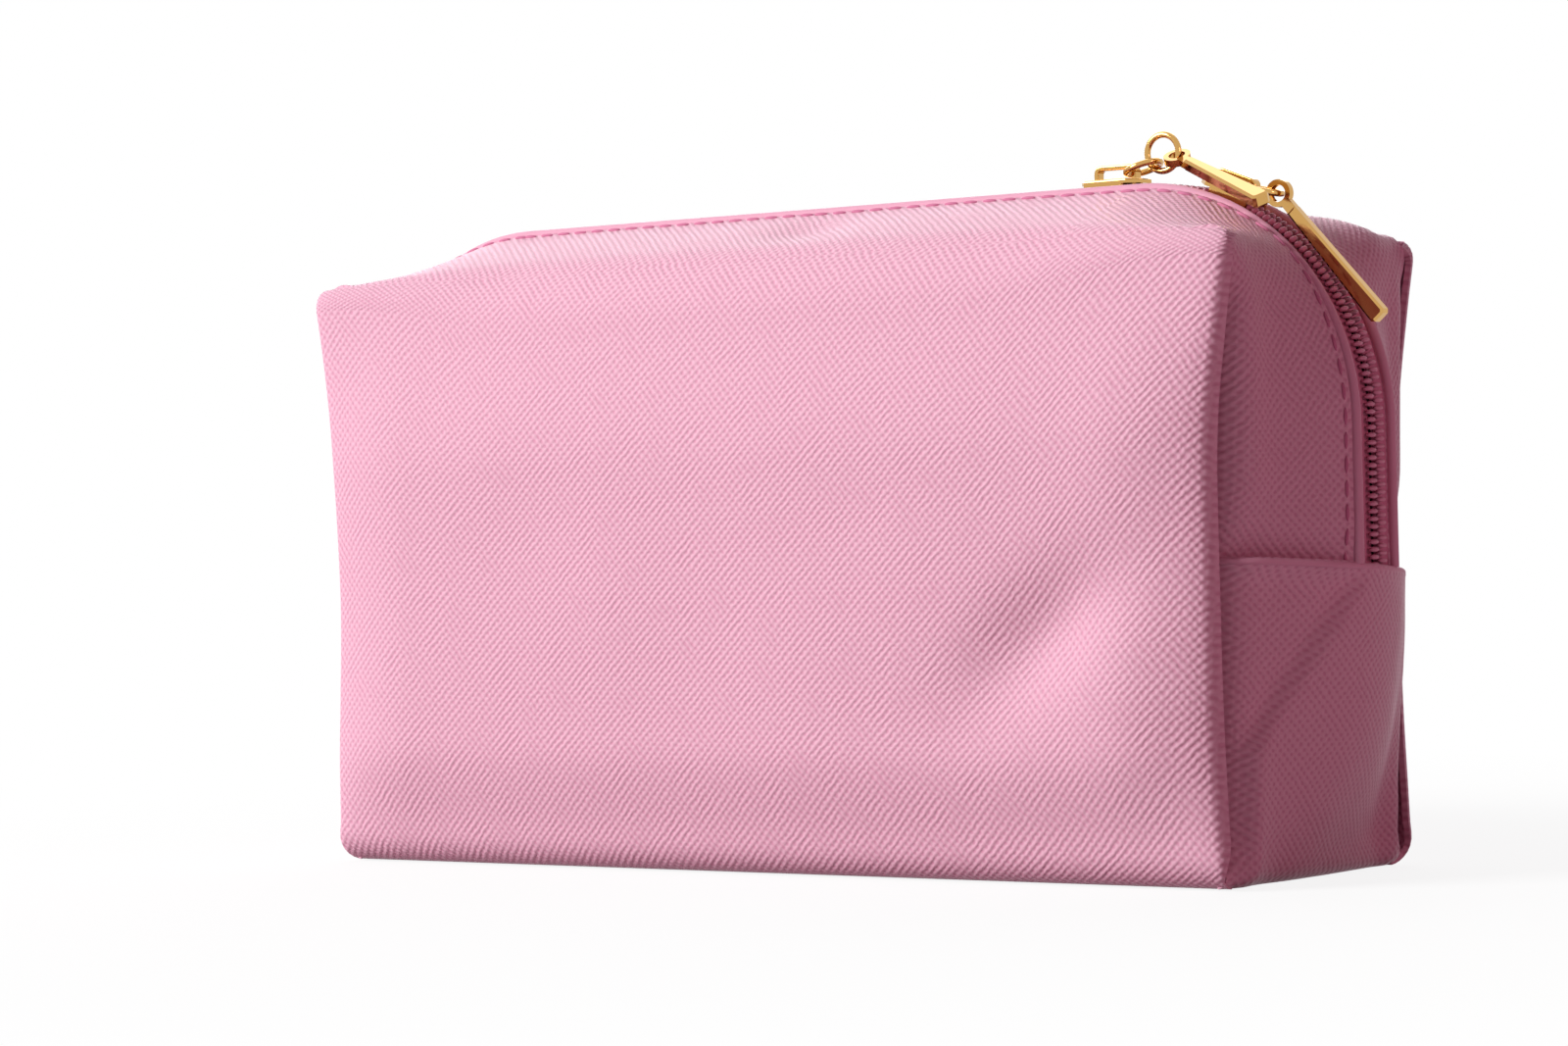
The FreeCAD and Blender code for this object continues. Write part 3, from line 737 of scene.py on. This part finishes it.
def gussetSheet(tag, sy, stretch, node):
    sx = -1 if stretch == "Left" else 1

    def flat(a, s):
        along = a * gusset["flatArc"] if a < 1 else gusset["flatArc"] + (a - 1) * endLength
        return zipLine["cornerX"] + along, -s * flap["flatLength"]

    sheet = sheetGrid(
        "gusset" + tag, alongSteps, acrossSteps, lambda a, s: gussetPoint(a, s, sx, sy), flat,
        skin, case["thick"])
    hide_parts("gusset_" + node)
    carry(sheet, stretch)


hem = {"radius": 0.95, "drop": 0.35, "out": 0.35}  # folded edge beside the zip
tape = {"across": [0.9, 2.2, 3.5, 4.8, 6.6], "drop": 0.3, "thick": 0.5}
bead = {"segments": 8, "rings": 6}
tooth = {
    "pitch": 1.4, "half": (0.5, 1.4, 0.78), "middle": 1.45, "lift": 0.62,
    "starts": {-1: 0.25, 1: 0.75},  # in pitches: the two sides are half a pitch apart, so that they mesh
}
stitch = {"pitch": 4.5, "half": (1.65, 0.36, 0.36), "inset": 2.7, "lift": 0.12, "reach": 0.5, "start": 0.5}
stitchAcross = 1 - stitch["inset"] / (case["innerY"] - zipLine["slot"])


def hemCord(tag, sy, ds):
    sideways = Vector((0, sy * hem["out"], 0))
    points = [surfaceAt(d, 1, sy) - pathFrame(d)[2] * hem["drop"] + sideways for d in ds]
    return tube("hem" + tag, points, hem["radius"], foldedSkin)


def tapePoint(d, y, sy):
    at, _, out = pathFrame(d)
    return at - out * tape["drop"] + Vector((0, sy * y, 0))


def everyPitch(d0, d1, pitch, first):
    # Places from d0 to d1, the first of them a share of the pitch in
    places = []
    d = d0 + pitch * first
    while d < d1:
        places.append(d)
        d += pitch
    return places


def placed(at, along, out, sizes):
    turn = Matrix((along, out.cross(along), out)).transposed().to_4x4()
    return Matrix.Translation(at / mmPerMetre) @ turn @ Matrix.Diagonal((*sizes, 1))


def toothPlace(d, sy):
    at, along, out = pathFrame(d)
    return placed(at + out * tooth["lift"] + Vector((0, sy * tooth["middle"], 0)), along, out, tooth["half"])


def stitchPlace(d, sy):
    out = pathFrame(d)[2]
    before = surfaceAt(d - stitch["reach"], stitchAcross, sy)
    after = surfaceAt(d + stitch["reach"], stitchAcross, sy)
    ahead = (after - before).normalized()
    up = (out - ahead * out.dot(ahead)).normalized()
    return placed(surfaceAt(d, stitchAcross, sy) + up * stitch["lift"], ahead, up, stitch["half"])


def beads(name, places, material):
    # Small rounded pieces, one for each tooth or stitch
    bm = bmesh.new()
    for matrix in places:
        bmesh.ops.create_uvsphere(
            bm, u_segments=bead["segments"], v_segments=bead["rings"], radius=1 / mmPerMetre, matrix=matrix)
    return finishPiece(name, bm, material)


for sideName, sy in caseSides:
    for stretch, (d0, d1) in stretches.items():
        tag = sideName + stretch
        onTop = stretch.startswith("Top")
        node = sideName.lower() + "_" + ("top" if onTop else stretch.lower())
        ds = steps(d0, d1, max(stretchStep["fewest"], round((d1 - d0) / stretchStep["length"])))
        if onTop:
            topSheets(tag, sideName, sy, stretch, ds)
        else:
            gussetSheet(tag, sy, stretch, node)
        carry(hemCord(tag, sy, ds), stretch)
        strip = sheetGrid(
            "tape" + tag, ds, tape["across"], lambda d, y: tapePoint(d, y, sy), lambda d, y: (d, y),
            tapeCloth, tape["thick"])
        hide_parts("zip_tape_" + node)
        carry(strip, stretch)
        teeth = everyPitch(d0, d1, tooth["pitch"], tooth["starts"][sy])
        coil = beads("coil" + tag, [toothPlace(d, sy) for d in teeth], coilPlastic)
        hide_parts("zip_coil_" + node)
        carry(coil, stretch)
        sewn = everyPitch(d0, d1, stitch["pitch"], stitch["start"])
        stitches = beads("stitches" + tag, [stitchPlace(d, sy) for d in sewn], thread)
        carry(stitches, stretch)
print("zip done")

# Lining pouch: an open-topped loose bag of thin cloth
pouch = {
    "size": (209.5, 65.5, 104.6), "middle": 54.3, "cuts": 9, "thick": 0.5,
    "loose": 0.9, "endSlack": 0.4, "ripple": 45,  # ripples in a metre
}
bm = bmesh.new()
pouchBox = Matrix.Diagonal((*(size / mmPerMetre for size in pouch["size"]), 1))
bmesh.ops.create_cube(bm, size=1, matrix=Matrix.Translation((0, 0, pouch["middle"] / mmPerMetre)) @ pouchBox)
bmesh.ops.delete(bm, geom=[f for f in bm.faces if f.normal.z > 0.5], context="FACES_ONLY")
bmesh.ops.subdivide_edges(bm, edges=bm.edges[:], cuts=pouch["cuts"], use_grid_fill=True)
for v in bm.verts:
    slack = abs(pouch["loose"] / mmPerMetre * noise.noise(v.co * pouch["ripple"]))
    v.co.x -= math.copysign(slack + pouch["endSlack"] / mmPerMetre, v.co.x)
    v.co.y -= math.copysign(slack, v.co.y)
thicken(bm, pouch["thick"] / mmPerMetre)
mapUpright(bm)
bag = finishPiece("liningPouch", bm, liningCloth)
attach(bag, "case")
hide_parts("lining_pouch")
print("lining done")

# Metal fittings keep their own shapes
for name in ("slider_left", "slider_right", "bridge_left", "bridge_right", "ring_left", "ring_left_top",
             "ring_right", "pull_left", "pull_right"):
    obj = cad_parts[name]
    for place in obj.material_slots:
        place.material = gold
    if not obj.material_slots:
        obj.data.materials.append(gold)
print("fittings done")

# Floor and surroundings: white where they are seen, dim where they light the case (metres from here on)
scene = bpy.context.scene
ground = {
    "half": 6, "drop": 0.0002, "lit": (0.40, 0.28, 0.32, 1), "rough": 0.9,
    "shadowed": (0.97, 0.96, 0.96, 1),  # keeps the shadow, near the case
    "whiteFrom": 0.12, "whiteAt": 0.4, "whiteShare": 0.88,
}
studio = {"lit": (1.0, 0.5, 0.6, 1), "strength": 0.025}
plainWhite = (1, 1, 1, 1)


def shownRay(nodes, links):
    # 1 for what the camera sees, straight or in a mirror; 0 for light that falls on the case
    rays = nodes.new("ShaderNodeLightPath").outputs
    mirrored = mathNode(nodes, links, "MAXIMUM", rays["Is Glossy Ray"], rays["Is Transmission Ray"])
    return mathNode(nodes, links, "MAXIMUM", rays["Is Camera Ray"], mirrored)


def mixNode(nodes, links, share, first, second):
    mix = nodes.new("ShaderNodeMixShader")
    for i, source in enumerate((share, first, second)):
        links.new(source, mix.inputs[i])
    return mix.outputs[0]


def floorMaterial():
    mat, nodes, links, shader = newMaterial("paleFloor")
    shader.inputs["Base Color"].default_value = ground["lit"]
    shader.inputs["Roughness"].default_value = ground["rough"]
    shader.inputs["Specular IOR Level"].default_value = 0.0
    glow = nodes.new("ShaderNodeEmission")
    glow.inputs["Color"].default_value = plainWhite
    glow.inputs["Strength"].default_value = 1.0
    pale = nodes.new("ShaderNodeBsdfDiffuse")
    pale.inputs["Color"].default_value = ground["shadowed"]
    reach = nodes.new("ShaderNodeVectorMath")
    reach.operation = "LENGTH"
    links.new(nodes.new("ShaderNodeTexCoord").outputs["Object"], reach.inputs[0])
    fade = nodes.new("ShaderNodeMapRange")
    fade.inputs["From Min"].default_value = ground["whiteFrom"]
    fade.inputs["From Max"].default_value = ground["whiteAt"]
    fade.inputs["To Min"].default_value = ground["whiteShare"]
    fade.inputs["To Max"].default_value = 1.0
    links.new(reach.outputs["Value"], fade.inputs["Value"])
    seen = mixNode(nodes, links, fade.outputs[0], pale.outputs[0], glow.outputs[0])
    surface = mixNode(nodes, links, shownRay(nodes, links), shader.outputs[0], seen)
    links.new(surface, nodes["Material Output"].inputs["Surface"])
    return mat


bm = bmesh.new()
bmesh.ops.create_grid(bm, x_segments=1, y_segments=1, size=ground["half"])
floor = finishPiece("floor", bm, floorMaterial())
floor.location.z = -ground["drop"]

world = bpy.data.worlds.new("studio")
scene.world = world
world.use_nodes = True
nodes, links = world.node_tree.nodes, world.node_tree.links
dim = nodes["Background"]
dim.inputs["Color"].default_value = studio["lit"]
dim.inputs["Strength"].default_value = studio["strength"]
white = nodes.new("ShaderNodeBackground")
white.inputs["Color"].default_value = plainWhite
white.inputs["Strength"].default_value = 1.0
around = mixNode(nodes, links, shownRay(nodes, links), dim.outputs[0], white.outputs[0])
links.new(around, nodes["World Output"].inputs["Surface"])

# Lamps
lamps = {
    "keyLight": {"at": (-1.56, -2.05, 1.36), "aim": (0.0, 0.0, 0.07), "size": (1.2, 1.2), "power": 108},
    "endLight": {"at": (1.25, -0.1, 0.42), "aim": (0.1, 0.0, 0.06), "size": (0.2, 0.25), "power": 2.3,
                 "colour": (1, 0.44, 0.55)},
    "backLight": {"at": (-0.54, 0.66, 1.10), "aim": (0.0, 0.02, 0.1), "size": (1.4, 1.2), "power": 7},
    "rearLight": {"at": (-0.9, 1.3, 0.5), "aim": (0.0, 0.03, 0.06), "size": (0.9, 0.7), "power": 6},
}


def areaLight(name, at, aim, size, power, colour=(1, 1, 1)):
    data = bpy.data.lights.new(name, "AREA")
    data.shape = "RECTANGLE"
    data.size, data.size_y = size
    data.energy = power
    data.color = colour
    obj = bpy.data.objects.new(name, data)
    scene.collection.objects.link(obj)
    obj.location = at
    obj.rotation_euler = (Vector(aim) - Vector(at)).to_track_quat("-Z", "Y").to_euler()


for name, lamp in lamps.items():
    areaLight(name, **lamp)

# Camera
eye = {"at": (0.5257, -0.7129, 0.068), "towards": (-0.6046, 0.7965, 0), "roll": -1.4,
       "lens": 101.7, "sensor": 36}
cameraData = bpy.data.cameras.new("camera")
cameraData.lens = eye["lens"]
cameraData.sensor_width = eye["sensor"]
camera = bpy.data.objects.new("camera", cameraData)
scene.collection.objects.link(camera)
camera.location = eye["at"]
looking = Vector(eye["towards"]).to_track_quat("-Z", "Y").to_matrix().to_4x4()
camera.rotation_euler = (looking @ Matrix.Rotation(math.radians(eye["roll"]), 4, "Z")).to_euler()
scene.camera = camera
scene.view_settings.view_transform = "Standard"
print("stage done")
